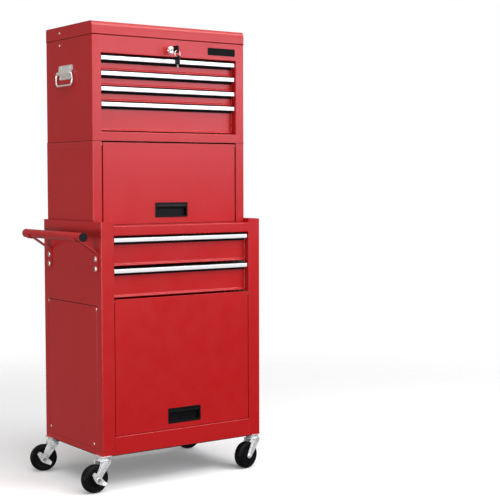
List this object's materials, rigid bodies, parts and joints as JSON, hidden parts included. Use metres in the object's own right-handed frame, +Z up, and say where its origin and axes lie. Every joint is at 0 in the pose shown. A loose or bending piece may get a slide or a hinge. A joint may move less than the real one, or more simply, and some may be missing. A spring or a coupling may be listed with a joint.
{
  "type": "rolling tool chest",
  "caption": "Wheeled tool cabinet with flip-up doors, stacked chests, drawers with full-width pull strips, a hinged lid on folding stays, side carrying handles and a side push handle.",
  "frame": {"origin": "centre of the overall plan, on the floor under the casters", "axes": "+X to the right seen from the front, +Y from front to back, +Z up"},
  "size_m": [0.591, 0.37, 1.2455],
  "materials": {
    "red_paint": "semi-gloss baked enamel on sheet steel",
    "bright_aluminium": "bright extruded pull strip",
    "zinc_plate": "zinc-plated pressed steel",
    "chrome": "bright plated steel",
    "black_plastic": "moulded satin plastic",
    "black_tyre": "solid moulded rubber wheel"
  },
  "bodies": {
    "lower_cabinet": {"lower_side_left": "red_paint", "lower_side_right": "red_paint", "lower_back": "red_paint", "lower_floor": "red_paint", "lower_tray": "red_paint", "access_panel": "red_paint", "lower_rails_left": "zinc_plate", "lower_rails_right": "zinc_plate", "handle_tube": "red_paint", "handle_cap_front": "black_plastic", "handle_cap_rear": "black_plastic", "handle_bracket_front": "red_paint", "handle_bracket_rear": "red_paint", "caster_plate_front_left": "zinc_plate", "caster_plate_front_right": "zinc_plate", "caster_plate_rear_left": "zinc_plate", "caster_plate_rear_right": "zinc_plate"},
    "lower_drawer_1": {"lower_drawer_1": "red_paint", "lower_pull_1": "bright_aluminium"},
    "lower_drawer_2": {"lower_drawer_2": "red_paint", "lower_pull_2": "bright_aluminium"},
    "lower_door_carriage": {"lower_door_rod": "zinc_plate"},
    "lower_door": {"lower_door": "red_paint", "lower_door_grip": "black_plastic"},
    "middle_chest": {"middle_body": "red_paint"},
    "middle_door_carriage": {"middle_door_rod": "zinc_plate"},
    "middle_door": {"middle_door": "red_paint", "middle_door_grip": "black_plastic"},
    "top_chest": {"top_body": "red_paint", "top_rails_left": "zinc_plate", "top_rails_right": "zinc_plate", "bail_plate_left": "chrome", "bail_plate_right": "chrome"},
    "lid": {"top_lid": "red_paint"},
    "lock": {"lock_cylinder": "chrome", "key": "black_plastic"},
    "top_drawer_1": {"top_drawer_1": "red_paint", "top_pull_1": "bright_aluminium"},
    "top_drawer_2": {"top_drawer_2": "red_paint", "top_pull_2": "bright_aluminium"},
    "top_drawer_3": {"top_drawer_3": "red_paint", "top_pull_3": "bright_aluminium"},
    "top_drawer_4": {"top_drawer_4": "red_paint", "top_pull_4": "bright_aluminium"},
    "stay_lower_left": {"stay_lower_left": "zinc_plate"},
    "stay_upper_left": {"stay_upper_left": "zinc_plate"},
    "bail_left": {"bail_wire_left": "chrome"},
    "stay_lower_right": {"stay_lower_right": "zinc_plate"},
    "stay_upper_right": {"stay_upper_right": "zinc_plate"},
    "bail_right": {"bail_wire_right": "chrome"},
    "caster_swivel_front_left": {"caster_fork_front_left": "zinc_plate"},
    "caster_wheel_front_left": {"caster_wheel_front_left": "black_tyre"},
    "caster_swivel_front_right": {"caster_fork_front_right": "zinc_plate"},
    "caster_wheel_front_right": {"caster_wheel_front_right": "black_tyre"},
    "caster_swivel_rear_left": {"caster_fork_rear_left": "zinc_plate"},
    "caster_wheel_rear_left": {"caster_wheel_rear_left": "black_tyre"},
    "caster_swivel_rear_right": {"caster_fork_rear_right": "zinc_plate"},
    "caster_wheel_rear_right": {"caster_wheel_rear_right": "black_tyre"},
    "caster_brake_front_left": {"caster_brake_front_left": "zinc_plate"},
    "caster_brake_rear_left": {"caster_brake_rear_left": "zinc_plate"}
  },
  "joints": [
    {"name": "lower_drawer_1_slide", "type": "slide", "parent": "lower_cabinet", "child": "lower_drawer_1", "axis": [0, -1, 0], "range_m": [0, 0.26]},
    {"name": "lower_drawer_2_slide", "type": "slide", "parent": "lower_cabinet", "child": "lower_drawer_2", "axis": [0, -1, 0], "range_m": [0, 0.26]},
    {"name": "lower_door_slide", "type": "slide", "parent": "lower_cabinet", "child": "lower_door_carriage", "axis": [0, 1, 0], "range_m": [0, 0.31]},
    {"name": "lower_door_flip", "type": "hinge", "parent": "lower_door_carriage", "child": "lower_door", "pos_m": [0.03131, -0.16486, 0.504], "axis": [-1, 0, 0], "range_deg": [0, 90]},
    {"name": "middle_chest_lift", "type": "slide", "parent": "lower_cabinet", "child": "middle_chest", "axis": [0, 0, 1], "range_m": [0, 0.12]},
    {"name": "middle_door_slide", "type": "slide", "parent": "middle_chest", "child": "middle_door_carriage", "axis": [0, 1, 0], "range_m": [0, 0.245]},
    {"name": "middle_door_flip", "type": "hinge", "parent": "middle_door_carriage", "child": "middle_door", "pos_m": [0.03131, -0.10336, 0.921], "axis": [-1, 0, 0], "range_deg": [0, 90]},
    {"name": "top_chest_lift", "type": "slide", "parent": "middle_chest", "child": "top_chest", "axis": [0, 0, 1], "range_m": [0, 0.12]},
    {"name": "top_drawer_1_slide", "type": "slide", "parent": "top_chest", "child": "top_drawer_1", "axis": [0, -1, 0], "range_m": [0, 0.2]},
    {"name": "top_drawer_2_slide", "type": "slide", "parent": "top_chest", "child": "top_drawer_2", "axis": [0, -1, 0], "range_m": [0, 0.2]},
    {"name": "top_drawer_3_slide", "type": "slide", "parent": "top_chest", "child": "top_drawer_3", "axis": [0, -1, 0], "range_m": [0, 0.2]},
    {"name": "top_drawer_4_slide", "type": "slide", "parent": "top_chest", "child": "top_drawer_4", "axis": [0, -1, 0], "range_m": [0, 0.2]},
    {"name": "lid_hinge", "type": "hinge", "parent": "top_chest", "child": "lid", "pos_m": [0.03131, 0.16114, 1.2104], "axis": [-1, 0, 0], "range_deg": [0, 95]},
    {"name": "stay_lower_left_pivot", "type": "hinge", "parent": "top_chest", "child": "stay_lower_left", "pos_m": [-0.21009, 0.07464, 1.1945], "axis": [-1, 0, 0], "range_deg": [0, 112]},
    {"name": "stay_upper_left_pivot", "type": "hinge", "parent": "lid", "child": "stay_upper_left", "pos_m": [-0.20849, 0.07464, 1.228], "axis": [-1, 0, 0], "range_deg": [-112, 0]},
    {"name": "stay_lower_right_pivot", "type": "hinge", "parent": "top_chest", "child": "stay_lower_right", "pos_m": [0.27271, 0.07464, 1.1945], "axis": [-1, 0, 0], "range_deg": [0, 112]},
    {"name": "stay_upper_right_pivot", "type": "hinge", "parent": "lid", "child": "stay_upper_right", "pos_m": [0.27111, 0.07464, 1.228], "axis": [-1, 0, 0], "range_deg": [-112, 0]},
    {"name": "lock_turn", "type": "hinge", "parent": "top_chest", "child": "lock", "pos_m": [0.03131, -0.11036, 1.181], "axis": [0, 1, 0], "range_deg": [0, 90]},
    {"name": "bail_left_swing", "type": "hinge", "parent": "top_chest", "child": "bail_left", "pos_m": [-0.21949, 0.03814, 1.116], "axis": [0, 1, 0], "range_deg": [0, 90]},
    {"name": "bail_right_swing", "type": "hinge", "parent": "top_chest", "child": "bail_right", "pos_m": [0.28211, 0.03814, 1.116], "axis": [0, -1, 0], "range_deg": [0, 90]},
    {"name": "caster_front_left_swivel", "type": "hinge", "parent": "lower_cabinet", "child": "caster_swivel_front_left", "pos_m": [-0.21169, -0.15186, 0.09], "axis": [0, 0, 1], "continuous": true},
    {"name": "caster_front_left_roll", "type": "hinge", "parent": "caster_swivel_front_left", "child": "caster_wheel_front_left", "pos_m": [-0.23965, -0.15332, 0.038], "axis": [-0.0523, 0.9986, 0], "continuous": true},
    {"name": "caster_front_left_brake", "type": "hinge", "parent": "caster_swivel_front_left", "child": "caster_brake_front_left", "pos_m": [-0.23965, -0.15332, 0.038], "axis": [-0.0523, 0.9986, 0], "range_deg": [0, 25]},
    {"name": "caster_front_right_swivel", "type": "hinge", "parent": "lower_cabinet", "child": "caster_swivel_front_right", "pos_m": [0.27431, -0.15186, 0.09], "axis": [0, 0, 1], "continuous": true},
    {"name": "caster_front_right_roll", "type": "hinge", "parent": "caster_swivel_front_right", "child": "caster_wheel_front_right", "pos_m": [0.24682, -0.1572, 0.038], "axis": [-0.1908, 0.9816, 0], "continuous": true},
    {"name": "caster_rear_left_swivel", "type": "hinge", "parent": "lower_cabinet", "child": "caster_swivel_rear_left", "pos_m": [-0.21169, 0.14414, 0.09], "axis": [0, 0, 1], "continuous": true},
    {"name": "caster_rear_left_roll", "type": "hinge", "parent": "caster_swivel_rear_left", "child": "caster_wheel_rear_left", "pos_m": [-0.238, 0.15372, 0.038], "axis": [0.342, 0.9397, 0], "continuous": true},
    {"name": "caster_rear_left_brake", "type": "hinge", "parent": "caster_swivel_rear_left", "child": "caster_brake_rear_left", "pos_m": [-0.238, 0.15372, 0.038], "axis": [0.342, 0.9397, 0], "range_deg": [0, 25]},
    {"name": "caster_rear_right_swivel", "type": "hinge", "parent": "lower_cabinet", "child": "caster_swivel_rear_right", "pos_m": [0.27431, 0.14414, 0.09], "axis": [0, 0, 1], "continuous": true},
    {"name": "caster_rear_right_roll", "type": "hinge", "parent": "caster_swivel_rear_right", "child": "caster_wheel_rear_right", "pos_m": [0.25006, 0.15814, 0.038], "axis": [0.5, 0.866, 0], "continuous": true}
  ],
  "couplings": [
    {"joint": "stay_lower_left_pivot", "follows": "lid_hinge", "ratio": 1.1567},
    {"joint": "stay_upper_left_pivot", "follows": "lid_hinge", "ratio": -1.1466},
    {"joint": "stay_lower_right_pivot", "follows": "lid_hinge", "ratio": 1.1567},
    {"joint": "stay_upper_right_pivot", "follows": "lid_hinge", "ratio": -1.1466}
  ]
}
